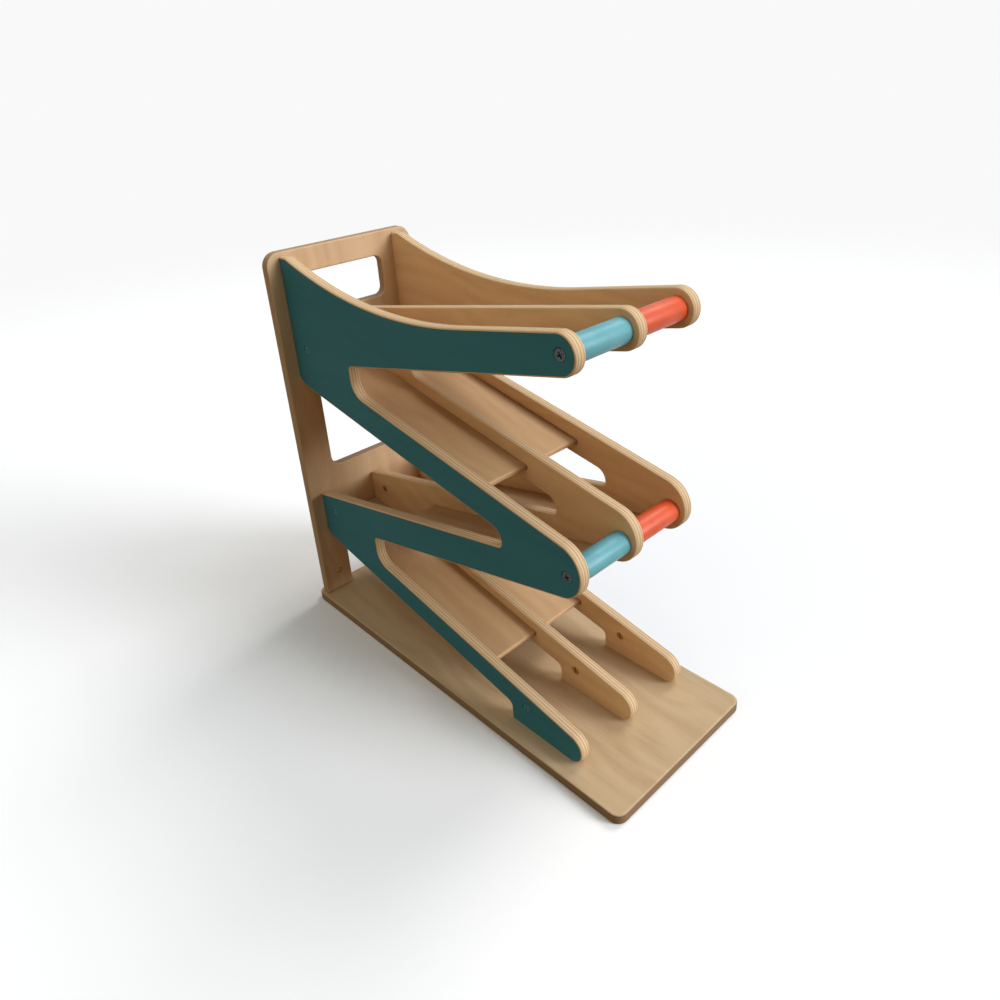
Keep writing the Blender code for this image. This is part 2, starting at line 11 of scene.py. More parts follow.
import bmesh
import bpy
import numpy as np
from mathutils import Matrix, Vector
from mathutils.geometry import delaunay_2d_cdt


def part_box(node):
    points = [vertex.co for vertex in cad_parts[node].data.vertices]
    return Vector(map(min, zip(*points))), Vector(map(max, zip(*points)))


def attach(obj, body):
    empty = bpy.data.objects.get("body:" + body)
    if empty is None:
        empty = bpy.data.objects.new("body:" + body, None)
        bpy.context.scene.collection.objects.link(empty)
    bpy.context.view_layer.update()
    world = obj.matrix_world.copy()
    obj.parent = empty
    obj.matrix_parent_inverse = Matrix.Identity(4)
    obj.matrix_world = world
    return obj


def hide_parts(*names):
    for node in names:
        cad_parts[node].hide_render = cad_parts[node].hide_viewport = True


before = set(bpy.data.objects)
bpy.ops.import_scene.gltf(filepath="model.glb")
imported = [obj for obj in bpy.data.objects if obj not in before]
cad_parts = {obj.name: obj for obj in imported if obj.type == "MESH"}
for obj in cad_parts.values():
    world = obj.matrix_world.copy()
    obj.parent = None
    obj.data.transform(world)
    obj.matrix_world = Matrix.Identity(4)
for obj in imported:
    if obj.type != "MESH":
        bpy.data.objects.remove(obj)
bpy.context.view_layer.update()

MM = 0.001

# Fits, rounds and facets
CLEARANCE = 0.3 * MM
SAME_POINT = 0.005 * MM
EDGE_ROUND = 1.5 * MM
DECK_SIDE_ROUND = 0.3 * MM
HOLE_EASE = 0.35 * MM
LIP = 0.3 * MM
ROUND_STEPS = 5
ARC_STEP = math.radians(5)
CIRCLE_SIDES = 48
SMOOTH_ANGLE = math.radians(35)

# Base board and back panel
BASE_CORNER = 9.0 * MM
BACK_CORNER = 13.0 * MM
HANDLE_WIDTH = 83.0 * MM
HANDLE_HEIGHT = 39.0 * MM
HANDLE_DROP = 23.0 * MM
HANDLE_CORNER = 8.0 * MM
WINDOW_WIDTH = 95.0 * MM
WINDOW_HEIGHT = 96.0 * MM
WINDOW_CORNER = 10.0 * MM
OPENING_DROP = 18.5 * MM

# Side panels and divider
RAIL_FALL = 72.3 * MM
TOP_EDGE_FALL = 60.0 * MM
LEVEL_PITCH = 171.5 * MM
SLOT_SETBACK = 311.0 * MM
SLOT_ROUND = 15.0 * MM
CROTCH_SETBACK = 130.0 * MM
CROTCH_ROUND = 11.0 * MM
INNER_CORNER = 4.0 * MM
REAR_CORNER = 18.0 * MM
FOOT_SETBACK = 51.0 * MM
HEEL_TO_BOLT = 18.0 * MM
HEEL_ROUND = 5.0 * MM
SWEEP_SETBACK = 163.0 * MM
SWEEP_STEPS = 48
SHOULDER_ROUND = 5.0 * MM
SHOULDER_DROP = 4.0 * MM
SHOULDER_LAND = 10.0 * MM
SHOULDER_CHORD = 8.0 * MM
NUT_ABOVE_CHUTE = 19.3 * MM
BACK_TRIM = 4.0 * MM
FLOOR_TRIM = EDGE_ROUND + LIP

# Depth of the rails over and under their centre lines, at the back panel and at the dowels
TOP_ARM_OVER = 15.0 * MM
TOP_ARM_UNDER = 13.4 * MM, 15.0 * MM
UPPER_CHUTE_OVER = 12.5 * MM, 16.8 * MM
UPPER_CHUTE_UNDER = 16.7 * MM, 10.3 * MM
MIDDLE_ARM_OVER = 18.5 * MM, 15.0 * MM
MIDDLE_ARM_UNDER = 16.4 * MM, 13.1 * MM
LOWER_CHUTE_OVER = 10.3 * MM, 12.7 * MM
LOWER_CHUTE_UNDER = 14.3 * MM, 11.0 * MM

# Decks and their grooves
DECK_THICKNESS = 5.0 * MM
ARM_DECK_DROP = 6.0 * MM
DECK_ROUND = 1.5 * MM
GROOVE_DEPTH = 3.0 * MM
GROOVE_RUNOUT = 2.0 * MM
GROOVE_EASE = 0.2 * MM
GROOVE_OVERRUN = 1.0 * MM

# Dowels, screws, pins, bolts and barrel nuts
DOWEL_EASE = 0.5 * MM
HEAD_RECESS = 0.5 * MM
SCREW_RADIUS = 1.8 * MM
SCREW_HEAD_RADIUS = 4.6 * MM
SCREW_EASE = 0.7 * MM
CROSS_SPAN = 5.0 * MM
CROSS_WIDTH = 1.2 * MM
CROSS_DEPTH = 1.4 * MM
SCREW_TURN = math.radians(28)
PIN_RADIUS = 2.5 * MM
BOLT_RADIUS = 2.0 * MM
BOLT_HEAD_RADIUS = 4.0 * MM
SOCKET_WIDTH = 2.5 * MM
SOCKET_DEPTH = 1.6 * MM
NUT_SLOT_WIDTH = 1.0 * MM
NUT_SLOT_LENGTH = 5.4 * MM
NUT_SLOT_DEPTH = 1.2 * MM
METAL_EASE = 0.25 * MM
METAL_SIDES = 32


def box(solid):
    """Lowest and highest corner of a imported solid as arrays."""
    return tuple(np.array(corner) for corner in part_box(solid))


def centre(solid):
    """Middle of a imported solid's box."""
    return sum(box(solid)) / 2


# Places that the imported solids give
BASE_LOW, BASE_HIGH = box("base_board")
BACK_LOW, BACK_HIGH = box("back_panel")
PANEL_LOW, PANEL_HIGH = box("left_side_panel")
FRONT = BASE_HIGH[0]
BACK_FACE = BACK_HIGH[0]
BACK_TOP = BACK_HIGH[2]
DOWEL_X = centre("upper_dowel_left")[0]
DOWEL_RADIUS = (box("upper_dowel_left")[1] - box("upper_dowel_left")[0])[0] / 2
TOP_ARM_HEIGHT = centre("upper_dowel_left")[2]
CHUTE_HEIGHTS = {level: centre(f"back_nut_{level}_left")[2] - NUT_ABOVE_CHUTE for level in ("high", "low")}
HEEL_X = centre("foot_nut_left")[0] - HEEL_TO_BOLT
RAMP_ANGLE = math.atan2(RAIL_FALL, DOWEL_X - BACK_FACE)
TOP_EDGE_ANGLE = math.atan2(TOP_EDGE_FALL, DOWEL_X - BACK_FACE)
PAINTED_FACES = {"left_side_panel": box("left_side_panel")[0][1],
                 "right_side_panel": box("right_side_panel")[1][1]}


# Plane geometry: a line is a point and a direction

def unit(vectors):
    """Vectors divided by their lengths."""
    return vectors / np.linalg.norm(vectors, axis=-1, keepdims=True)


def sloped(x, z, angle):
    """Line through (x, z) that rises forwards by an angle."""
    return np.array((x, z)), np.array((math.cos(angle), math.sin(angle)))


def upright(x):
    """Vertical line at x."""
    return np.array((x, 0.0)), np.array((0.0, 1.0))


def beside(line, distance):
    """Parallel line, moved by a distance along the left-hand normal."""
    point, along = line
    return point + distance * np.array((-along[1], along[0])), along


def meet(first, second):
    """Crossing of two lines: the two runs that make point plus run times direction equal."""
    runs = np.linalg.solve(np.column_stack((first[1], -second[1])), second[0] - first[0])
    return first[0] + runs[0] * first[1]


def nose(lower, tip_x, upper):
    """Two corners of a full-round end: the circle lies one radius from both edges and from the upright."""
    rows = []
    offsets = []
    for (point, along), side in ((lower, 1.0), (upright(tip_x), 1.0), (upper, -1.0)):
        inward = side * np.array((-along[1], along[0]))
        rows.append((*inward, -1.0))
        offsets.append(inward @ point)
    radius = np.linalg.solve(rows, offsets)[2]
    return [(*meet(lower, upright(tip_x)), radius), (*meet(upright(tip_x), upper), radius)]


def filleted(corners):
    """Closed outline of corners (u, v, radius), anticlockwise.

    Each corner becomes the arc that touches its two sides: the tangent point, turned about the arc's
    centre in equal steps.
    """
    corners = np.array(corners)
    points, radii = corners[:, :2], corners[:, 2:]
    back = unit(np.roll(points, 1, axis=0) - points)
    ahead = unit(np.roll(points, -1, axis=0) - points)
    half = np.arccos(np.clip(np.sum(back * ahead, axis=1, keepdims=True), -1.0, 1.0)) / 2
    centres = points + unit(back + ahead) * radii / np.sin(half)
    arms = points + back * radii / np.tan(half) - centres
    turns = np.sign(ahead[:, 0] * back[:, 1] - ahead[:, 1] * back[:, 0]) * (math.pi - 2 * half[:, 0])
    arcs = []
    for middle, (x, y), turn, radius in zip(centres, arms, turns, radii[:, 0]):
        steps = math.ceil(abs(turn) / ARC_STEP) if radius else 0
        angles = np.linspace(0.0, turn, steps + 1)
        cosine, sine = np.cos(angles), np.sin(angles)
        arcs.append(middle + np.column_stack((cosine * x - sine * y, sine * x + cosine * y)))
    outline = np.concatenate(arcs)
    outline = outline[np.linalg.norm(outline - np.roll(outline, 1, axis=0), axis=1) > SAME_POINT]
    ahead = np.roll(outline, -1, axis=0)
    area = np.sum(outline[:, 0] * ahead[:, 1] - outline[:, 1] * ahead[:, 0])
    return outline if area > 0 else outline[::-1]


def rectangle(low, high, radius):
    """Rectangle between two corners, with rounded corners."""
    (left, bottom), (right, top) = low, high
    return filleted([(left, bottom, radius), (right, bottom, radius), (right, top, radius),
                     (left, top, radius)])


def circle(middle, radius, sides=CIRCLE_SIDES):
    """Circle as equal steps of angle."""
    turn = np.linspace(0.0, 2 * math.pi, sides, endpoint=False)
    return np.asarray(middle) + radius * np.column_stack((np.cos(turn), np.sin(turn)))


# Walls: a closed path and a profile of (growth, level) rows

def rim(path, low, high, radius, side=-1.0):
    """Wall from face to face with a lip, a quarter round, a straight side, a quarter round and a lip.

    The round grows by radius times (1 - sine) and sinks by radius times (1 - cosine). Side is -1 for an
    outer rim, which draws in towards the faces, and 1 for an opening, which flares out.
    """
    turn = np.linspace(0.0, math.pi / 2, ROUND_STEPS + 1)
    growth = np.concatenate(([radius + LIP], radius * (1 - np.sin(turn)))) * side
    sink = np.concatenate(([0.0], radius * (1 - np.cos(turn))))
    lower = np.column_stack((growth, low + sink))
    upper = np.column_stack((growth, high - sink))
    return path, np.concatenate((lower, upper[::-1]))


def pocket(path, face, floor, ease):
    """Blind wall from a face down to a flat floor, with a quarter-round mouth."""
    turn = np.linspace(0.0, math.pi / 2, ROUND_STEPS + 1)
    inward = math.copysign(1.0, floor - face)
    growth = np.concatenate(([ease + LIP], ease * (1 - np.sin(turn)), [0.0]))
    level = np.concatenate(([face], face + inward * ease * (1 - np.cos(turn)), [floor]))
    return path, np.column_stack((growth, level))


def turned(rows, middle=(0.0, 0.0), sides=METAL_SIDES):
    """Round wall from (radius, level) rows, as growth from the first row's circle."""
    rows = np.array(rows)
    return circle(middle, rows[0, 0], sides), np.column_stack((rows[:, 0] - rows[0, 0], rows[:, 1]))


def countersunk_hole(middle, radius, head_radius, ease, face, far):
    """Hole for a flat-headed fastener: an eased mouth, a short seat wall, a 45 degree cone and a bore."""
    inward = math.copysign(1.0, far - face)
    bore, mouth = radius + CLEARANCE, head_radius + CLEARANCE
    seat = HEAD_RECESS + CLEARANCE
    return turned([(mouth + ease + LIP, face), (mouth + ease, face),
                   (mouth, face + inward * ease), (mouth, face + inward * seat),
                   (bore, face + inward * (seat + mouth - bore)), (bore, far)], middle, CIRCLE_SIDES)


class Axes(NamedTuple):
    """Where the paths' u and v and the levels' w point, as three directions."""

    u: tuple
    v: tuple
    w: tuple


UPRIGHT_LENGTHWISE = Axes((1, 0, 0), (0, 0, 1), (0, 1, 0))
UPRIGHT_CROSSWISE = Axes((0, 1, 0), (0, 0, 1), (1, 0, 0))
LYING = Axes((1, 0, 0), (0, 1, 0), (0, 0, 1))


# Shells

def carried(path, profile):
    """Rings of a profile along a path: each path point plus growth times its outward mitre normal.

    The mitre normal is the sum of the two neighbouring edge normals over one plus their dot product.
    """
    step = np.roll(path, -1, axis=0) - path
    normal = unit(np.column_stack((step[:, 1], -step[:, 0])))
    last = np.roll(normal, 1, axis=0)
    mitre = (last + normal) / (1 + np.sum(last * normal, axis=1, keepdims=True))
    flat = path + profile[:, :1, None] * mitre
    level = np.broadcast_to(profile[:, 1:, None], (*flat.shape[:2], 1))
    return np.concatenate((flat, level), axis=2)


def filled(points, loops):
    """Triangles between closed loops of point numbers on one level, by the even-odd rule.

    A Delaunay triangulation keeps the loops as edges. A triangle stays where a ray from its middle along u
    crosses the loops an odd number of times.
    """
    numbers = np.concatenate(loops)
    firsts = np.cumsum([0] + [len(loop) for loop in loops])
    ahead = np.concatenate([np.roll(np.arange(first, end), -1) for first, end in zip(firsts, firsts[1:])])
    flat = points[numbers, :2]
    edges = np.column_stack((np.arange(len(numbers)), ahead)).tolist()
    made = delaunay_2d_cdt([Vector(point) for point in flat], edges, [], 0, SAME_POINT * SAME_POINT)
    source = np.array([origins[0] for origins in made[3]])
    triangles = source[np.array(made[2])]
    u, v = np.moveaxis(flat[triangles].mean(axis=1, keepdims=True), 2, 0)
    (start_u, start_v), (end_u, end_v) = flat.T, flat[ahead].T
    spans = (start_v > v) != (end_v > v)
    rise = np.where(start_v == end_v, 1.0, end_v - start_v)
    crossing = spans & (u < start_u + (v - start_v) * (end_u - start_u) / rise)
    inside = crossing.sum(axis=1) % 2 == 1
    return numbers[triangles[inside]].tolist()


def shell(name, axes, walls):
    """Closed mesh of walls and of the flat caps between all wall ends that lie on the same level."""
    points = []
    faces = []
    ends = {}
    count = 0
    for path, profile in walls:
        rings = carried(path, profile)
        numbers = count + np.arange(rings.shape[0] * rings.shape[1]).reshape(rings.shape[:2])
        beside_it = np.roll(numbers, -1, axis=1)
        quads = np.stack((numbers[:-1], beside_it[:-1], beside_it[1:], numbers[1:]), axis=2)
        faces += quads.reshape(-1, 4).tolist()
        points.append(rings.reshape(-1, 3))
        count += numbers.size
        for row in (0, -1):
            ends.setdefault(round(profile[row, 1] / SAME_POINT), []).append(numbers[row])
    points = np.concatenate(points)
    for loops in ends.values():
        faces += filled(points, loops)
    mesh = bpy.data.meshes.new(name)
    mesh.from_pydata((points @ np.array(axes, dtype=float)).tolist(), [], faces)
    return smoothed(mesh)


def smoothed(mesh):
    """Mesh with all faces pointing out, round stretches smooth and true edges sharp."""
    solid = bmesh.new()
    solid.from_mesh(mesh)
    bmesh.ops.recalc_face_normals(solid, faces=solid.faces)
    solid.to_mesh(mesh)
    solid.free()
    mesh.shade_smooth()
    mesh.set_sharp_from_angle(angle=SMOOTH_ANGLE)
    return mesh


def bored(mesh, tools):
    """Mesh with the tools cut out, for bores that enter through a rim."""
    body = bpy.data.objects.new(mesh.name, mesh)
    cutters = [bpy.data.objects.new(tool.name, tool) for tool in tools]
    for item in (body, *cutters):
        bpy.context.scene.collection.objects.link(item)
    for item in cutters:
        modifier = body.modifiers.new(item.name, "BOOLEAN")
        modifier.operation = "DIFFERENCE"
        modifier.solver = "EXACT"
        modifier.object = item
    bpy.context.view_layer.update()
    result = bpy.data.meshes.new_from_object(body.evaluated_get(bpy.context.evaluated_depsgraph_get()))
    for item in (body, *cutters):
        bpy.data.objects.remove(item)
    return smoothed(result)


def placed(mesh, origin, along, across):
    """Copy of a mesh whose Z axis points along and whose X axis points across, at an origin."""
    z, x = Vector(along), Vector(across)
    turn = Matrix((x, z.cross(x), z)).transposed().to_4x4()
    copy = mesh.copy()
    copy.transform(Matrix.Translation(Vector(origin)) @ turn)
    return copy


def dress(node, mesh, material):
    """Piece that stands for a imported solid, with its material."""
    piece = bpy.data.objects.new(f"{node}_finished", mesh)
    bpy.context.scene.collection.objects.link(piece)
    mesh.materials.clear()
    mesh.materials.append(material)
    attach(piece, "root")
    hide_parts(node)


# Materials

def linear(code):
    """Linear colour of an sRGB hex value."""
    value = np.array([int(code[place:place + 2], 16) for place in (1, 3, 5)]) / 255
    value = np.where(value <= 0.04045, value / 12.92, ((value + 0.055) / 1.055) ** 2.4)
    return (*value.tolist(), 1.0)


def node(tree, kind, inputs, **settings):
    """Add a node with its settings. An input is a value, a socket to link, or a node to link from."""
    made = tree.nodes.new(kind)
    for key, value in settings.items():
        setattr(made, key, value)
    for key, value in inputs.items():
        if isinstance(value, bpy.types.Node):
            value = next(socket for socket in value.outputs if socket.enabled)
        if isinstance(value, bpy.types.NodeSocket):
            tree.links.new(value, made.inputs[key])
        else:
            made.inputs[key].default_value = value
    return made


def new_material(name):
    """Empty node material with its tree and its shader."""
    material = bpy.data.materials.new(name)
    material.use_nodes = True
    return material, material.node_tree, material.node_tree.nodes["Principled BSDF"]


class Lay(NamedTuple):
    """How a board's veneers lie: the face normal, the level of its low face, its thickness and the grain."""

    normal: tuple
    level: float
    thickness: float
    plies: int
    grain: tuple


class Tone(NamedTuple):
    """Colours of a board: pale and deep wood of its faces, pale and deep layers of its cut edges."""

    pale: str
    deep: str
    edge_pale: str
    edge_deep: str


class Marks(NamedTuple):
    """Size of wood marks along and across the grain, and how broken and bent they are."""

    length: float
    width: float
    detail: float
    distortion: float


# Painted light: the panels' and divider's faces are a little lighter than the other boards' birch, to lift
# their shaded inner lane faces.
PANEL_TONE_WITH_PAINTED_LIGHT = Tone("#dab891", "#cfab84", "#dabf9a", "#c09f77")
# The back's cut edges are darker, partly a darker end grain and partly painted shade for its shaded top and
# left edges.
BACK_TONE_WITH_EDGE_SHADE = Tone("#d2b28e", "#c6a581", "#b2967a", "#a38565")
# Painted shade: the base's cut edges are darkened for its shaded left side and the contact shadow along it.
BASE_TONE_WITH_EDGE_SHADE = Tone("#cab08c", "#bda17d", "#978066", "#82684c")
# Painted shade: the decks' faces are a little darker than the panels', for the shade under the arms and decks
# above them.
DECK_TONE_WITH_PAINTED_SHADE = Tone("#c9a77e", "#c09c75", "#d0ae88", "#c39c72")
FIGURE = Marks(190.0 * MM, 30.0 * MM, 3.0, 0.9)
STREAKS = Marks(70.0 * MM, 3.0 * MM, 2.0, 0.2)
FLECKS = Marks(7.0 * MM, 0.9 * MM, 1.0, 0.0)
RINGS = Marks(140.0 * MM, 60.0 * MM, 1.0, 14.0)
STREAK_SHARE = 0.3
RING_SHARE = 0.18
TONE_SPAN = (0.5, 0.85)
FLECK_SPAN = (0.64, 0.74)
FLECK_STRENGTH = 0.14
FLECK_COLOUR = "#7f5933"
BOARD_PLIES = 7
DECK_PLIES = 3
END_GRAIN_SPAN = (0.45, 0.7)
GLUE_SHARE = 0.05
GLUE_STRENGTH = 0.25
GLUE_COLOUR = "#714e2e"
VENEER_SHOWS = (0.3 * MM, 0.7 * MM)
PLY_WANDER = 0.25 * MM
PAINT_RAGGED = 0.3
PAINT_SPAN = (0.45, 0.6)
PAINTED_HOLE = 6.5 * MM
PAINTED_DEPTH = 5.0 * MM
BIRCH_RELIEF = 0.05 * MM
BIRCH_BUMP = 0.15
FLECK_RELIEF = -0.6
BIRCH_ROUGHNESS = (0.55, 0.7)
BIRCH_IOR = 1.45
BIRCH_SPECULAR = 0.1
TEAL_PALE = "#3a7686"
TEAL_DEEP = "#367180"
PAINT_ROUGHNESS = 0.6


def birch_ply(name, lay, tone, is_painted=False):
    """Rotary-cut birch plywood, sanded and satin oiled.

    The faces show a pale tan with broad, soft figure, faint growth rings and streaks, and short flecks along
    the grain. Cut edges show the veneers as pale and tan layers with thin glue lines. The tone sets the
    colours of both. Paint is an even, matt teal where the mesh's paint mask says so. It leaves the routed
    round bare, which draws a light line round the colour. Flecks are thinner on real birch and are drawn as
    wide as they need to be to show.
    """
    material, tree, shader = new_material(name)
    place = node(tree, "ShaderNodeTexCoord", {}).outputs["Object"]
    across_grain = tuple(np.cross(lay.normal, lay.grain))
    along, across, through = (
        node(tree, "ShaderNodeVectorMath", {0: place, 1: axis}, operation="DOT_PRODUCT")
        for axis in (lay.grain, across_grain, lay.normal))
    space = node(tree, "ShaderNodeCombineXYZ", {0: along, 1: across, 2: through})
    depth = node(tree, "ShaderNodeMath", {0: through, 1: lay.level}, operation="SUBTRACT")
    figure, streak, fleck, ring = (
        node(tree, kind, {
            "Vector": node(tree, "ShaderNodeMapping", {
                "Vector": space, "Scale": (1 / marks.length, 1 / marks.width, 1 / marks.width)}),
            "Scale": 1.0, "Detail": marks.detail, "Distortion": marks.distortion}, **settings)
        for kind, marks, settings in (
            ("ShaderNodeTexNoise", FIGURE, {}), ("ShaderNodeTexNoise", STREAKS, {}),
            ("ShaderNodeTexNoise", FLECKS, {}), ("ShaderNodeTexWave", RINGS, {"bands_direction": "Y"})))

    drawn = node(tree, "ShaderNodeMath", {0: streak, 1: STREAK_SHARE, 2: figure}, operation="MULTIPLY_ADD")
    ringed = node(tree, "ShaderNodeMath", {0: ring, 1: RING_SHARE, 2: drawn}, operation="MULTIPLY_ADD")
    ringed = node(tree, "ShaderNodeMapRange", {
        0: ringed, 1: TONE_SPAN[0] + RING_SHARE / 2, 2: TONE_SPAN[1] + RING_SHARE / 2})
    face = node(tree, "ShaderNodeMix", {0: ringed, 6: linear(tone.pale), 7: linear(tone.deep)},
                data_type="RGBA")
    flecked = node(tree, "ShaderNodeMapRange", {
        0: fleck, 1: FLECK_SPAN[0], 2: FLECK_SPAN[1], 3: 0.0, 4: FLECK_STRENGTH})
    face = node(tree, "ShaderNodeMix", {0: flecked, 6: face, 7: linear(FLECK_COLOUR)}, data_type="RGBA")

    wander = node(tree, "ShaderNodeMath", {0: figure, 1: PLY_WANDER, 2: depth}, operation="MULTIPLY_ADD")
    centred = node(tree, "ShaderNodeMath", {0: wander, 1: PLY_WANDER / 2}, operation="SUBTRACT")
    ply = lay.thickness / lay.plies
    count = node(tree, "ShaderNodeMath", {0: centred, 1: 1 / ply, 2: -0.5}, operation="MULTIPLY_ADD")
    swing = node(tree, "ShaderNodeMath", {0: count, 1: 1.0}, operation="PINGPONG")
    end_grain = node(tree, "ShaderNodeMapRange", {0: swing, 1: END_GRAIN_SPAN[0], 2: END_GRAIN_SPAN[1]},
                     interpolation_type="SMOOTHSTEP")
    layers = node(tree, "ShaderNodeMix", {0: end_grain, 6: linear(tone.edge_pale), 7: linear(tone.edge_deep)},
                  data_type="RGBA")
    glue = node(tree, "ShaderNodeMath", {0: swing, 1: 0.5, 2: GLUE_SHARE}, operation="COMPARE")
    glue = node(tree, "ShaderNodeMath", {0: glue, 1: GLUE_STRENGTH}, operation="MULTIPLY")
    layers = node(tree, "ShaderNodeMix", {0: glue, 6: layers, 7: linear(GLUE_COLOUR)}, data_type="RGBA")
    from_face = node(tree, "ShaderNodeMath", {0: depth, 1: lay.thickness / 2}, operation="PINGPONG")
    is_edge = node(tree, "ShaderNodeMapRange", {0: from_face, 1: VENEER_SHOWS[0], 2: VENEER_SHOWS[1]})
    colour = node(tree, "ShaderNodeMix", {0: is_edge, 6: face, 7: layers}, data_type="RGBA")
    if is_painted:
        mask = node(tree, "ShaderNodeAttribute", {}, attribute_name="paint").outputs["Fac"]
        ragged = node(tree, "ShaderNodeMath", {0: fleck, 1: -PAINT_RAGGED, 2: mask}, operation="MULTIPLY_ADD")
        painted = node(tree, "ShaderNodeMapRange", {0: ragged, 1: PAINT_SPAN[0], 2: PAINT_SPAN[1]})
        tint = node(tree, "ShaderNodeMapRange", {0: drawn, 1: TONE_SPAN[0], 2: TONE_SPAN[1]})
        teal = node(tree, "ShaderNodeMix", {0: tint, 6: linear(TEAL_PALE), 7: linear(TEAL_DEEP)},
                    data_type="RGBA")
        colour = node(tree, "ShaderNodeMix", {0: painted, 6: colour, 7: teal}, data_type="RGBA")
    tree.links.new(colour.outputs[2], shader.inputs["Base Color"])
    rough = node(tree, "ShaderNodeMapRange", {0: streak, 3: BIRCH_ROUGHNESS[0], 4: BIRCH_ROUGHNESS[1]})
    tree.links.new(rough.outputs[0], shader.inputs["Roughness"])
    relief = node(tree, "ShaderNodeMath", {0: fleck, 1: FLECK_RELIEF, 2: streak}, operation="MULTIPLY_ADD")
    bump = node(tree, "ShaderNodeBump", {"Height": relief, "Strength": BIRCH_BUMP, "Distance": BIRCH_RELIEF})
    tree.links.new(bump.outputs[0], shader.inputs["Normal"])
    shader.inputs["IOR"].default_value = BIRCH_IOR
    shader.inputs["Specular IOR Level"].default_value = BIRCH_SPECULAR
    return material


BLUE = "#65a6b0", "#589ba4"
CORAL = "#db572a", "#cf4e24"
CLOUD_SIZE = 14.0 * MM
BRUSH_LENGTH = 30.0 * MM
BRUSH_WIDTH = 1.2 * MM
BRUSH_SHARE = 0.4
BRUSH_RELIEF = 0.06 * MM
BRUSH_BUMP = 0.08
SATIN_SPAN = (0.5, 0.9)
SATIN_ROUGHNESS = (0.34, 0.44)
SATIN_IOR = 1.5
SATIN_SPECULAR = 0.35


def dowel_paint(name, pale, deep):
    """Satin paint on a turned birch dowel: an even colour with soft clouds and faint lines along the wood."""
    material, tree, shader = new_material(name)
    place = node(tree, "ShaderNodeTexCoord", {}).outputs["Object"]
    cloud = node(tree, "ShaderNodeTexNoise", {"Vector": place, "Scale": 1 / CLOUD_SIZE, "Detail": 2.0})
    stretched = node(tree, "ShaderNodeMapping", {
        "Vector": place, "Scale": (1 / BRUSH_WIDTH, 1 / BRUSH_LENGTH, 1 / BRUSH_WIDTH)})
    lines = node(tree, "ShaderNodeTexNoise", {"Vector": stretched, "Scale": 1.0, "Detail": 2.0})
    tone = node(tree, "ShaderNodeMath", {0: lines, 1: BRUSH_SHARE, 2: cloud}, operation="MULTIPLY_ADD")
    tone = node(tree, "ShaderNodeMapRange", {0: tone, 1: SATIN_SPAN[0], 2: SATIN_SPAN[1]})
    colour = node(tree, "ShaderNodeMix", {0: tone, 6: linear(pale), 7: linear(deep)}, data_type="RGBA")
    tree.links.new(colour.outputs[2], shader.inputs["Base Color"])
    rough = node(tree, "ShaderNodeMapRange", {0: cloud, 3: SATIN_ROUGHNESS[0], 4: SATIN_ROUGHNESS[1]})
    tree.links.new(rough.outputs[0], shader.inputs["Roughness"])
    bump = node(tree, "ShaderNodeBump", {"Height": lines, "Strength": BRUSH_BUMP, "Distance": BRUSH_RELIEF})
    tree.links.new(bump.outputs[0], shader.inputs["Normal"])
    shader.inputs["IOR"].default_value = SATIN_IOR
    shader.inputs["Specular IOR Level"].default_value = SATIN_SPECULAR
    return material


# Painted shade: the screws' steel is made dark grey for heads on the shaded sides, which reflect the white
# background where the real ones reflect a dim room.
SCREW_STEEL_WITH_PAINTED_SHADE = "#565957", "#333534"
ZINC = "#c9c9c6", "#a9a9a8"
BRONZED = "#c2955c", "#a67c49"
PLATING_GRAIN = 0.8 * MM
PLATING_SPAN = (0.35, 0.65)
GLOSS_SPREAD = 0.08
SCREW_ROUGHNESS = 0.42
PIN_ROUGHNESS = 0.36
BOLT_ROUGHNESS = 0.34
NUT_ROUGHNESS = 0.6


def plated_steel(name, pale, deep, roughness, is_painted=False):
    """Plated steel fastener: a clouded metal whose gloss changes in small grains.

    Where the mesh's paint mask says so, the panel's matt paint covers the metal.
    """
    material, tree, shader = new_material(name)
    place = node(tree, "ShaderNodeTexCoord", {}).outputs["Object"]
    grains = node(tree, "ShaderNodeTexNoise", {"Vector": place, "Scale": 1 / PLATING_GRAIN, "Detail": 3.0})
    cloud = node(tree, "ShaderNodeMapRange", {0: grains, 1: PLATING_SPAN[0], 2: PLATING_SPAN[1]})
    colour = node(tree, "ShaderNodeMix", {0: cloud, 6: linear(deep), 7: linear(pale)}, data_type="RGBA")
    rough = node(tree, "ShaderNodeMapRange", {
        0: grains, 3: roughness - GLOSS_SPREAD, 4: roughness + GLOSS_SPREAD})
    shader.inputs["Metallic"].default_value = 1.0
    if is_painted:
        mask = node(tree, "ShaderNodeAttribute", {}, attribute_name="paint").outputs["Fac"]
        colour = node(tree, "ShaderNodeMix", {0: mask, 6: colour, 7: linear(TEAL_DEEP)}, data_type="RGBA")
        rough = node(tree, "ShaderNodeMapRange", {0: mask, 3: rough, 4: PAINT_ROUGHNESS})
        bare = node(tree, "ShaderNodeMath", {0: 1.0, 1: mask}, operation="SUBTRACT")
        tree.links.new(bare.outputs[0], shader.inputs["Metallic"])
    tree.links.new(colour.outputs[2], shader.inputs["Base Color"])
    tree.links.new(rough.outputs[0], shader.inputs["Roughness"])
    return material


# Rails: two arms fall backwards, two chutes fall forwards

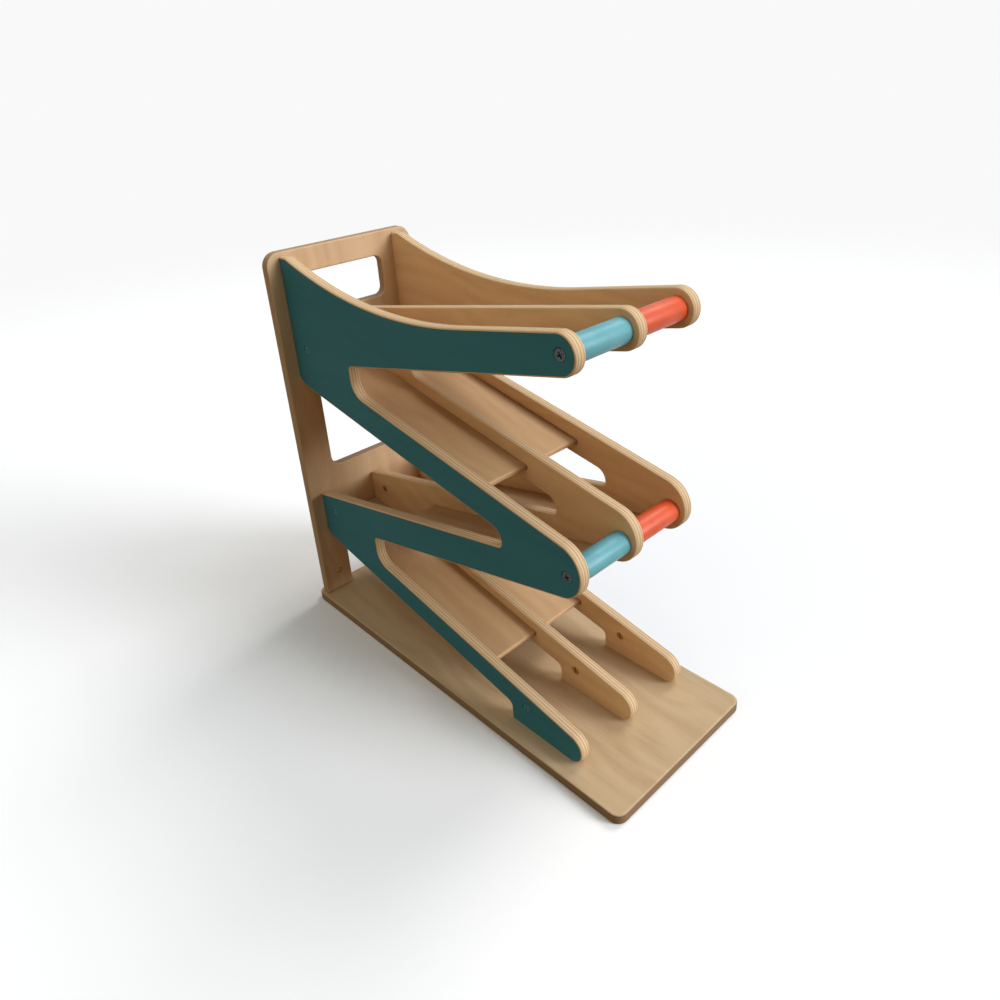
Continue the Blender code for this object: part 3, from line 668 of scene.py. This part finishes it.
TOP_ARM = sloped(DOWEL_X, TOP_ARM_HEIGHT, RAMP_ANGLE)
MIDDLE_ARM = sloped(DOWEL_X, TOP_ARM_HEIGHT - LEVEL_PITCH, RAMP_ANGLE)
UPPER_CHUTE = sloped(BACK_FACE, CHUTE_HEIGHTS["high"], -RAMP_ANGLE)
LOWER_CHUTE = sloped(BACK_FACE, CHUTE_HEIGHTS["low"], -RAMP_ANGLE)
TOP_EDGE = beside(sloped(DOWEL_X, TOP_ARM_HEIGHT, TOP_EDGE_ANGLE), TOP_ARM_OVER)
DECK_LINES = {"top": beside(TOP_ARM, -ARM_DECK_DROP), "upper": UPPER_CHUTE,
              "middle": beside(MIDDLE_ARM, -ARM_DECK_DROP), "lower": LOWER_CHUTE}


def rail_edge(line, depths, side):
    """Edge over (1) or under (-1) a rail's centre line, by its depths at the back and at the dowels."""
    rear, front = (meet(beside(line, side * depth), upright(x))
                   for depth, x in zip(depths, (BACK_FACE, DOWEL_X)))
    return rear, unit(front - rear)


def swept_top(back_x):
    """Corners of a side panel's hollow top: a circle from the straight edge up to a level land at the back.

    The radius is the squared chord over twice the chord's part square to the straight edge. The land runs on
    to back_x, behind the back panel's face.
    """
    start = meet(TOP_EDGE, upright(FRONT - SWEEP_SETBACK))
    crest = np.array((PANEL_LOW[0] + SHOULDER_LAND, BACK_TOP - SHOULDER_DROP))
    upward = np.array((-math.sin(TOP_EDGE_ANGLE), math.cos(TOP_EDGE_ANGLE)))
    chord = crest - start
    radius = chord @ chord / (2 * chord @ upward)
    middle = start + radius * upward
    turn = np.linspace(TOP_EDGE_ANGLE, math.asin((crest[0] - middle[0]) / radius), SWEEP_STEPS + 1)
    arc = middle + radius * np.column_stack((np.sin(turn), -np.cos(turn)))
    arc = arc[np.linalg.norm(arc - crest, axis=1) > SHOULDER_CHORD]
    return [*np.column_stack((arc, np.zeros(len(arc)))), (*crest, SHOULDER_ROUND), (back_x, crest[1], 0.0)]


def panel_outline(is_divider):
    """Zig-zag outline of a side panel, or of the divider with its straight top.

    Each opening between two rails has an upright end, broadly rounded on the chute's side. The outline runs
    past the back panel's face and the base's top, where the rim is trimmed off square.
    """
    floor = sloped(0.0, PANEL_LOW[2] - FLOOR_TRIM, 0.0)
    heel, slot, crotch = (upright(x) for x in (HEEL_X, FRONT - SLOT_SETBACK, FRONT - CROTCH_SETBACK))
    back_x = PANEL_LOW[0] - BACK_TRIM
    back = upright(back_x)
    low_top, high_top, middle_top = (rail_edge(line, depths, 1) for line, depths in (
        (LOWER_CHUTE, LOWER_CHUTE_OVER), (UPPER_CHUTE, UPPER_CHUTE_OVER), (MIDDLE_ARM, MIDDLE_ARM_OVER)))
    low_under, high_under, middle_under, top_under = (rail_edge(line, depths, -1) for line, depths in (
        (LOWER_CHUTE, LOWER_CHUTE_UNDER), (UPPER_CHUTE, UPPER_CHUTE_UNDER),
        (MIDDLE_ARM, MIDDLE_ARM_UNDER), (TOP_ARM, TOP_ARM_UNDER)))
    return filleted([
        (*meet(floor, heel), 0.0),
        *nose(floor, FRONT - FOOT_SETBACK, low_top),
        (*meet(low_top, slot), SLOT_ROUND),
        (*meet(slot, middle_under), INNER_CORNER),
        *nose(middle_under, PANEL_HIGH[0], high_top),
        (*meet(high_top, slot), SLOT_ROUND),
        (*meet(slot, top_under), INNER_CORNER),
        *nose(top_under, PANEL_HIGH[0], TOP_EDGE),
        *([(*meet(TOP_EDGE, back), 0.0)] if is_divider else swept_top(back_x)),
        (*meet(back, high_under), REAR_CORNER),
        (*meet(high_under, crotch), CROTCH_ROUND),
        (*meet(crotch, middle_top), INNER_CORNER),
        (*meet(middle_top, back), 0.0),
        (*meet(back, low_under), REAR_CORNER),
        (*meet(low_under, heel), HEEL_ROUND)])


def strip(line, ends, half, radius):
    """Outline of a strip along a line between two uprights, with rounded corners."""
    rear, front = (upright(x) for x in ends)
    top, bottom = beside(line, half), beside(line, -half)
    return filleted([(*meet(bottom, rear), radius), (*meet(bottom, front), radius),
                     (*meet(top, front), radius), (*meet(top, rear), radius)])


def deck_ends(level):
    """Rear and front X of a deck."""
    low, high = box(f"{level}_deck_left")
    return low[0], high[0]


# Pieces

def make_base():
    """Base board: a rounded rectangle with an eased rim and countersunk holes from below."""
    low, high = BASE_LOW[2], BASE_HIGH[2]
    walls = [rim(rectangle(BASE_LOW[:2], BASE_HIGH[:2], BASE_CORNER), low, high, EDGE_ROUND)]
    for bolt in ("foot_bolt_left", "foot_bolt_centre", "foot_bolt_right", "leg_bolt_left", "leg_bolt_right"):
        walls.append(countersunk_hole(centre(bolt)[:2], BOLT_RADIUS, BOLT_HEAD_RADIUS, HOLE_EASE, low, high))
    lay = Lay((0, 0, 1), low, high - low, BOARD_PLIES, (1, 0, 0))
    dress("base_board", shell("base_board", LYING, walls), birch_ply("birch_plywood_base", lay, BASE_TONE_WITH_EDGE_SHADE))


def edge_bore(bolt, axis):
    """Bore for a bolt that enters a board through its rim, along a coordinate axis."""
    low, high = box(bolt)
    along = np.eye(3)[axis]
    across = np.roll(along, 1)
    length = high[axis] - low[axis]
    radius = BOLT_RADIUS + CLEARANCE
    tool = shell(f"{bolt}_bore", LYING, [turned([(radius, 0.0), (radius, length + CLEARANCE)])])
    start = centre(bolt) - along * length / 2
    return placed(tool, start, along, across)


def nut_hole(nut, low, high, plane):
    """Through hole for a barrel nut, eased at both mouths, in a plane of two coordinates."""
    low_corner, high_corner = box(nut)
    radius = (high_corner - low_corner)[plane[0]] / 2 + CLEARANCE
    return rim(circle(centre(nut)[list(plane)], radius), low, high, HOLE_EASE, 1.0)


def make_back():
    """Back panel: two legs under a sill, a window, a hand slot, and holes for bolts and barrel nuts."""
    low, high = BACK_LOW[0], BACK_HIGH[0]
    edge, pane, hand = BACK_HIGH[1], WINDOW_WIDTH / 2, HANDLE_WIDTH / 2
    floor, arch = BACK_LOW[2], CHUTE_HEIGHTS["low"] - OPENING_DROP
    lintel = CHUTE_HEIGHTS["high"] - OPENING_DROP
    outline = filleted([
        (pane, floor, 0.0), (edge, floor, 0.0), (edge, BACK_TOP, BACK_CORNER), (-edge, BACK_TOP, BACK_CORNER),
        (-edge, floor, 0.0), (-pane, floor, 0.0), (-pane, arch, WINDOW_CORNER), (pane, arch, WINDOW_CORNER)])
    window = rectangle((-pane, lintel - WINDOW_HEIGHT), (pane, lintel), WINDOW_CORNER)
    slot_top = BACK_TOP - HANDLE_DROP
    slot = rectangle((-hand, slot_top - HANDLE_HEIGHT), (hand, slot_top), HANDLE_CORNER)
    walls = [rim(outline, low, high, EDGE_ROUND)]
    walls += [rim(opening, low, high, EDGE_ROUND, 1.0) for opening in (window, slot)]
    for level in ("high", "low"):
        for side in ("left", "centre", "right"):
            spot = centre(f"back_bolt_{level}_{side}")[1:]
            walls.append(countersunk_hole(spot, BOLT_RADIUS, BOLT_HEAD_RADIUS, HOLE_EASE, low, high))
    for side in ("left", "right"):
        walls.append(nut_hole(f"leg_nut_{side}", low, high, (1, 2)))
    mesh = bored(shell("back_panel", UPRIGHT_CROSSWISE, walls),
                 [edge_bore(f"leg_bolt_{side}", 2) for side in ("left", "right")])
    lay = Lay((1, 0, 0), low, high - low, BOARD_PLIES, (0, 0, 1))
    dress("back_panel", mesh, birch_ply("birch_plywood_back", lay, BACK_TONE_WITH_EDGE_SHADE))


def mask_paint(mesh, face, spots):
    """Paint mask on a panel's points: one on the flat of its outer face and in the mouths of its holes."""
    points = np.empty(3 * len(mesh.vertices))
    mesh.vertices.foreach_get("co", points)
    x, y, z = points.reshape(-1, 3).T
    off_face = np.abs(y - face)
    from_hole = np.min([np.hypot(x - hole_x, z - hole_z) for hole_x, hole_z in spots], axis=0)
    painted = (off_face < SAME_POINT) | ((from_hole < PAINTED_HOLE) & (off_face < PAINTED_DEPTH))
    mask = mesh.attributes.new("paint", "FLOAT", "POINT")
    mask.data.foreach_set("value", painted.astype(np.float32))


def saw_blocks(low, high):
    """Blocks that trim a panel square along the back panel's face and the base's top."""
    beyond = 2 * BACK_TRIM
    corner = PANEL_LOW[[0, 2]]
    far = np.array((FRONT, BACK_TOP)) + beyond
    levels = np.array(((0.0, low - beyond), (0.0, high + beyond)))
    return [shell(name, UPRIGHT_LENGTHWISE, [(rectangle(corner - beyond, end, 0.0), levels)])
            for name, end in (("back_trim", (corner[0], far[1])), ("floor_trim", (far[0], corner[1])))]


def make_panel(side):
    """Side panel or divider: the zig-zag rim, the deck grooves and the holes for nuts, screws or pins."""
    is_divider = side == "centre"
    name = "centre_divider" if is_divider else f"{side}_side_panel"
    low, high = (corner[1] for corner in box(name))
    inner = {"left": [(high, -1)], "centre": [(low, 1), (high, -1)], "right": [(low, 1)]}[side]
    walls = [rim(panel_outline(is_divider), low, high, EDGE_ROUND)]
    rear_stop = PANEL_LOW[0] - GROOVE_OVERRUN
    for level, line in DECK_LINES.items():
        rear, front = deck_ends(level)
        ends = max(rear - GROOVE_RUNOUT, rear_stop), front + GROOVE_RUNOUT
        groove = strip(line, ends, DECK_THICKNESS / 2 + CLEARANCE, DECK_ROUND)
        walls += [pocket(groove, face, face + inward * GROOVE_DEPTH, GROOVE_EASE) for face, inward in inner]
    spots = []
    for nut in (f"back_nut_high_{side}", f"back_nut_low_{side}", f"foot_nut_{side}"):
        walls.append(nut_hole(nut, low, high, (0, 2)))
        spots.append(centre(nut)[[0, 2]])
    for level in ("upper", "lower"):
        spot = centre(f"{level}_dowel_left")[[0, 2]]
        spots.append(spot)
        if is_divider:
            walls.append(rim(circle(spot, PIN_RADIUS + CLEARANCE), low, high, HOLE_EASE, 1.0))
        else:
            outer, far = (low, high) if side == "left" else (high, low)
            walls.append(countersunk_hole(spot, SCREW_RADIUS, SCREW_HEAD_RADIUS, SCREW_EASE, outer, far))
    bores = [edge_bore(f"back_bolt_{level}_{side}", 0) for level in ("high", "low")]
    bores.append(edge_bore(f"foot_bolt_{side}", 2))
    mesh = bored(shell(name, UPRIGHT_LENGTHWISE, walls), [*saw_blocks(low, high), *bores])
    lay = Lay((0, 1, 0), low, high - low, BOARD_PLIES, (1, 0, 0))
    if is_divider:
        material = birch_ply("birch_plywood_divider", lay, PANEL_TONE_WITH_PAINTED_LIGHT)
    else:
        material = birch_ply(f"birch_plywood_teal_{side}", lay, PANEL_TONE_WITH_PAINTED_LIGHT, is_painted=True)
        mask_paint(mesh, PAINTED_FACES[name], spots)
    dress(name, mesh, material)


def make_decks():
    """Eight decks: strips with rounded ends, whose long sides sit in the grooves."""
    for level, line in DECK_LINES.items():
        outline = strip(line, deck_ends(level), DECK_THICKNESS / 2, DECK_ROUND)
        (x, z), (run, rise) = line
        normal = (-rise, 0.0, run)
        level_below = np.dot((x, 0.0, z), normal) - DECK_THICKNESS / 2
        lay = Lay(normal, level_below, DECK_THICKNESS, DECK_PLIES, (run, 0.0, rise))
        material = birch_ply(f"birch_plywood_{level}_deck", lay, DECK_TONE_WITH_PAINTED_SHADE)
        for side in ("left", "right"):
            name = f"{level}_deck_{side}"
            low, high = (corner[1] for corner in box(name))
            walls = [rim(outline, low, high, DECK_SIDE_ROUND)]
            dress(name, shell(name, UPRIGHT_LENGTHWISE, walls), material)


def make_dowels():
    """Four painted dowels with eased ends and blind bores for a screw and a pin."""
    paints = {"left": dowel_paint("blue_painted_dowel", *BLUE),
              "right": dowel_paint("coral_painted_dowel", *CORAL)}
    for level in ("upper", "lower"):
        for side, inward in (("left", 1), ("right", -1)):
            name = f"{level}_dowel_{side}"
            ends = [corner[1] for corner in box(name)]
            screwed, pinned = ends[::inward]
            spot = centre(name)[[0, 2]]
            screw_reach = box(f"dowel_screw_{level}_{side}")[(1 + inward) // 2][1]
            pin_reach = box(f"dowel_pin_{level}")[(1 - inward) // 2][1]
            walls = [rim(circle(spot, DOWEL_RADIUS, 2 * CIRCLE_SIDES), *ends, DOWEL_EASE)]
            for radius, mouth, floor in ((SCREW_RADIUS, screwed, screw_reach + inward * CLEARANCE),
                                         (PIN_RADIUS, pinned, pin_reach - inward * CLEARANCE)):
                walls.append(pocket(circle(spot, radius + CLEARANCE), mouth, floor, HOLE_EASE))
            dress(name, shell(name, UPRIGHT_LENGTHWISE, walls), paints[side])


def flat_headed(name, radius, head_radius, length, recess):
    """Flat-headed fastener along Z from its head: an eased head, a 45 degree cone and a tapered tip."""
    cone = head_radius - radius + 2 * METAL_EASE
    body = turned([
        (head_radius - METAL_EASE, 0.0), (head_radius, METAL_EASE), (head_radius, 2 * METAL_EASE),
        (radius, cone), (radius, length - radius / 2), (radius / 2, length)])
    return shell(name, LYING, [body, recess])


def make_screws_and_pins():
    """Dark cross-recess screws that hold the dowels, and the pins through the divider."""
    dark = plated_steel("steel_screw_with_painted_shade", *SCREW_STEEL_WITH_PAINTED_SHADE, SCREW_ROUGHNESS)
    zinc = plated_steel("zinc_plated_pin", *ZINC, PIN_ROUGHNESS)
    arm, half = CROSS_SPAN / 2, CROSS_WIDTH / 2
    quarter = np.array(((arm, -half), (arm, half), (half, half)))
    turns = [np.linalg.matrix_power(np.array(((0, -1), (1, 0))), step) for step in range(4)]
    cross = np.concatenate([quarter @ turn.T for turn in turns])
    taper = half / 3
    recess = cross, np.array(((0.0, 0.0), (-taper, CROSS_DEPTH)))
    low, high = box("dowel_screw_upper_left")
    screw = flat_headed("screw", SCREW_RADIUS, SCREW_HEAD_RADIUS, high[1] - low[1], recess)
    low, high = box("dowel_pin_upper")
    length = high[1] - low[1]
    pin = shell("pin", LYING, [turned([
        (PIN_RADIUS - METAL_EASE, 0.0), (PIN_RADIUS, METAL_EASE),
        (PIN_RADIUS, length - METAL_EASE), (PIN_RADIUS - METAL_EASE, length)])])
    cross_side = math.cos(SCREW_TURN), 0.0, math.sin(SCREW_TURN)
    for level in ("upper", "lower"):
        for side, inward in (("left", 1), ("right", -1)):
            name = f"dowel_screw_{level}_{side}"
            head = centre(name)
            head[1] = box(name)[(1 - inward) // 2][1]
            dress(name, placed(screw, head, (0, inward, 0), cross_side), dark)
        name = f"dowel_pin_{level}"
        start = centre(name)
        start[1] = box(name)[0][1]
        dress(name, placed(pin, start, (0, 1, 0), (1, 0, 0)), zinc)


def make_bolts_and_nuts():
    """Zinc-plated socket bolts, and slotted barrel nuts with a cross hole for the bolt."""
    zinc = plated_steel("zinc_plated_bolt", *ZINC, BOLT_ROUGHNESS)
    dull = plated_steel("bronzed_barrel_nut", *BRONZED, NUT_ROUGHNESS)
    painted = plated_steel("teal_painted_barrel_nut", *BRONZED, NUT_ROUGHNESS, is_painted=True)
    hexagon = circle((0.0, 0.0), SOCKET_WIDTH / math.sqrt(3), 6)
    recess = hexagon, np.array(((METAL_EASE, 0.0), (0.0, METAL_EASE), (0.0, SOCKET_DEPTH)))
    low, high = box("back_nut_high_left")
    radius, reach = (high[0] - low[0]) / 2, (high[1] - low[1]) / 2
    half_slot = np.array((NUT_SLOT_LENGTH, NUT_SLOT_WIDTH)) / 2
    slot = rectangle(-half_slot, half_slot, METAL_EASE)
    walls = [turned([(radius - METAL_EASE, -reach), (radius, METAL_EASE - reach),
                     (radius, reach - METAL_EASE), (radius - METAL_EASE, reach)])]
    for end in (-reach, reach):
        floor = end - math.copysign(NUT_SLOT_DEPTH, end)
        walls.append((slot, np.array(((0.0, end), (0.0, floor)))))
    hole_radius = BOLT_RADIUS + CLEARANCE
    hole = shell("cross_hole", LYING, [turned([(hole_radius, -2 * radius), (hole_radius, 2 * radius)])])
    half_step = math.pi / METAL_SIDES
    hole_side = 0.0, math.sin(half_step), math.cos(half_step)
    nut = bored(shell("barrel_nut", LYING, walls), [placed(hole, (0, 0, 0), (1, 0, 0), hole_side)])
    joints = [(f"back_{{}}_{level}_{side}", 0, 1) for level in ("high", "low")
              for side in ("left", "centre", "right")]
    joints += [(f"foot_{{}}_{side}", 2, 1) for side in ("left", "centre", "right")]
    joints += [(f"leg_{{}}_{side}", 2, 0) for side in ("left", "right")]
    for name, bolt_axis, nut_axis in joints:
        along, across = np.eye(3)[bolt_axis], np.eye(3)[nut_axis]
        bolt = name.format("bolt")
        low, high = box(bolt)
        length = high[bolt_axis] - low[bolt_axis]
        mesh = flat_headed(bolt, BOLT_RADIUS, BOLT_HEAD_RADIUS, length, recess)
        start = centre(bolt) - along * length / 2
        dress(bolt, placed(mesh, start, along, across), zinc)
        barrel = name.format("nut")
        mesh = placed(nut, centre(barrel), across, along)
        panel = f"{name.rpartition('_')[2]}_side_panel"
        if nut_axis == 1 and panel in PAINTED_FACES:
            mask_paint(mesh, PAINTED_FACES[panel], [centre(barrel)[[0, 2]]])
            dress(barrel, mesh, painted)
        else:
            dress(barrel, mesh, dull)


# Stage, light and camera

FLOOR_REACH = 6.0
FADE_START = 1.1
FADE_END = 2.2
BACKGROUND = "#f9f9f9"
FLOOR_SEEN = "#ffffff"
FLOOR_BOUNCE = "#72532f"
SUN_SOFTNESS = math.radians(25)

# Bearing and height in degrees, and colour, of each sun
SUNS = {
    "window_low": (30, 15, (1.88, 1.90, 1.92)),
    "window_middle": (30, 35, (0.72, 0.74, 0.78)),
    "window_high": (30, 60, (0.45, 0.49, 0.53)),
    "side": (90, 52, (1.08, 1.04, 1.02)),
}

# Middle and colour of the room's two lobes
CEILING = (0.0, 0.0, 1.0), (0.44, 0.49, 0.55)
LEFT_WALL = (0.0, -1.0, 0.15), (0.75, 0.63, 0.36)

CAMERA_PLACE = (0.4640, -0.3967, 0.5203)
CAMERA_RIGHT = (0.6997, 0.7127, -0.0503)
CAMERA_UP = (-0.2764, 0.3348, 0.9008)
CAMERA_BACK = (0.6589, -0.6164, 0.4312)
CAMERA_LENS = 28.53
CAMERA_SENSOR = 36.0
CAMERA_SHIFT = (-0.0224, -0.0669)


def seen_directly(tree):
    """One for rays from the camera and for mirror and glass rays, zero for light that bounces."""
    path = node(tree, "ShaderNodeLightPath", {})
    either = node(tree, "ShaderNodeMath", {
        0: path.outputs["Is Camera Ray"], 1: path.outputs["Is Glossy Ray"]}, operation="MAXIMUM")
    return node(tree, "ShaderNodeMath", {
        0: either, 1: path.outputs["Is Transmission Ray"]}, operation="MAXIMUM")


def make_floor():
    """Pale floor that takes the ramp's shadow and fades into the plain background far from the ramp."""
    mesh = bpy.data.meshes.new("floor")
    reach = FLOOR_REACH
    mesh.from_pydata([(-reach, -reach, 0), (reach, -reach, 0), (reach, reach, 0), (-reach, reach, 0)], [],
                     [(0, 1, 2, 3)])
    floor = bpy.data.objects.new("floor", mesh)
    bpy.context.scene.collection.objects.link(floor)
    material, tree, shader = new_material("pale_studio_floor")
    tree.nodes.remove(shader)
    seen = seen_directly(tree)
    colour = node(tree, "ShaderNodeMix", {0: seen, 6: linear(FLOOR_BOUNCE), 7: linear(FLOOR_SEEN)},
                  data_type="RGBA")
    diffuse = node(tree, "ShaderNodeBsdfDiffuse", {"Color": colour})
    plain = node(tree, "ShaderNodeEmission", {"Color": linear(BACKGROUND)})
    place = node(tree, "ShaderNodeTexCoord", {}).outputs["Object"]
    distance = node(tree, "ShaderNodeVectorMath", {0: place}, operation="LENGTH")
    fade = node(tree, "ShaderNodeMapRange", {0: distance, 1: FADE_START, 2: FADE_END},
                interpolation_type="SMOOTHSTEP")
    fade = node(tree, "ShaderNodeMath", {0: fade, 1: seen}, operation="MULTIPLY")
    mixed = node(tree, "ShaderNodeMixShader", {0: fade, 1: diffuse, 2: plain})
    output = next(item for item in tree.nodes if item.type == "OUTPUT_MATERIAL")
    tree.links.new(mixed.outputs[0], output.inputs["Surface"])
    mesh.materials.append(material)


def make_light():
    """A tall soft window to the front right, a soft lamp high on the right, and a dim room.

    The window is three soft suns one over another. The room is the sum of two lobes, a cool ceiling and a
    warm wall on the left. Each lobe is its colour times the squared cosine of the angle from its middle.
    """
    for name, (bearing, height, colour) in SUNS.items():
        sun = bpy.data.lights.new(name, "SUN")
        sun.energy = max(colour)
        sun.color = np.array(colour) / max(colour)
        sun.angle = SUN_SOFTNESS
        lamp = bpy.data.objects.new(name, sun)
        lamp.rotation_euler = (math.radians(90 - height), 0.0, math.radians(90 + bearing))
        bpy.context.scene.collection.objects.link(lamp)
    world = bpy.data.worlds.new("studio")
    world.use_nodes = True
    tree = world.node_tree
    direction = node(tree, "ShaderNodeTexCoord", {}).outputs["Generated"]
    lobes = []
    for middle, colour in (CEILING, LEFT_WALL):
        cosine = node(tree, "ShaderNodeVectorMath", {0: direction, 1: Vector(middle).normalized()},
                      operation="DOT_PRODUCT")
        facing = node(tree, "ShaderNodeMath", {0: cosine, 1: 0.0}, operation="MAXIMUM")
        square = node(tree, "ShaderNodeMath", {0: facing, 1: 2.0}, operation="POWER")
        lobes.append(node(tree, "ShaderNodeVectorMath", {0: colour, "Scale": square}, operation="SCALE"))
    room = node(tree, "ShaderNodeVectorMath", {0: lobes[0], 1: lobes[1]}, operation="ADD")
    colour = node(tree, "ShaderNodeMix", {0: seen_directly(tree), 6: room, 7: linear(BACKGROUND)},
                  data_type="RGBA")
    tree.links.new(colour.outputs[2], tree.nodes["Background"].inputs["Color"])
    bpy.context.scene.world = world


def make_camera():
    """Camera at the photograph's place and angle."""
    data = bpy.data.cameras.new("camera")
    data.sensor_width = CAMERA_SENSOR
    data.lens = CAMERA_LENS
    data.shift_x, data.shift_y = CAMERA_SHIFT
    camera = bpy.data.objects.new("camera", data)
    turn = Matrix((CAMERA_RIGHT, CAMERA_UP, CAMERA_BACK)).transposed()
    camera.matrix_world = Matrix.Translation(CAMERA_PLACE) @ turn.to_4x4()
    bpy.context.scene.collection.objects.link(camera)
    bpy.context.scene.camera = camera


make_base()
make_back()
for panel in ("left", "centre", "right"):
    make_panel(panel)
make_decks()
make_dowels()
make_screws_and_pins()
make_bolts_and_nuts()
make_floor()
make_light()
make_camera()
bpy.context.scene.view_settings.view_transform = "Standard"
